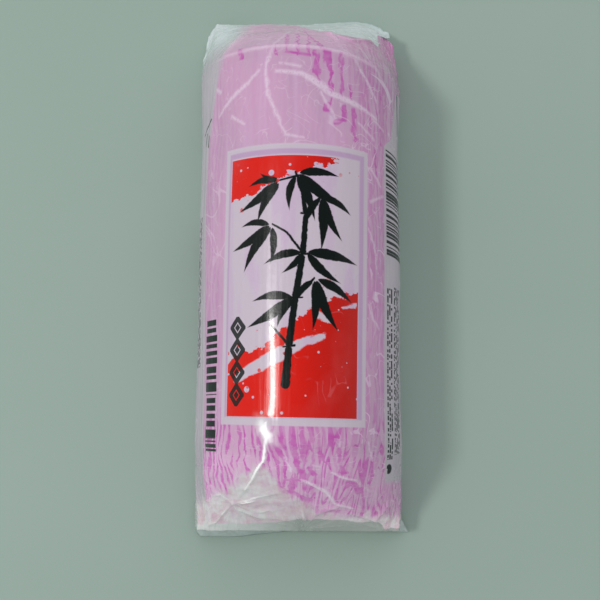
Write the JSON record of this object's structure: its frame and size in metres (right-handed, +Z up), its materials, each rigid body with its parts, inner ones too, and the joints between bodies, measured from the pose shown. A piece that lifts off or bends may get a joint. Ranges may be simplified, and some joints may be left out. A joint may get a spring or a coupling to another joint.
{
  "type": "wrapped kamaboko fish cake",
  "caption": "Arched loaf of steamed fish cake on its small board, shut in a tight glossy pink printed film, with sloping folded ends and a flat underside.",
  "frame": {"origin": "centre of the bounding box on the flat underside", "axes": "+Y along the loaf towards the top of its printed panel, +Z up from the resting face to the crest, +X to the right of the panel"},
  "size_m": [0.0624, 0.1558, 0.0465],
  "materials": {
    "printed_film": "gloss"
  },
  "bodies": {
    "root": {"wrapped_loaf": "printed_film"}
  },
  "joints": []
}
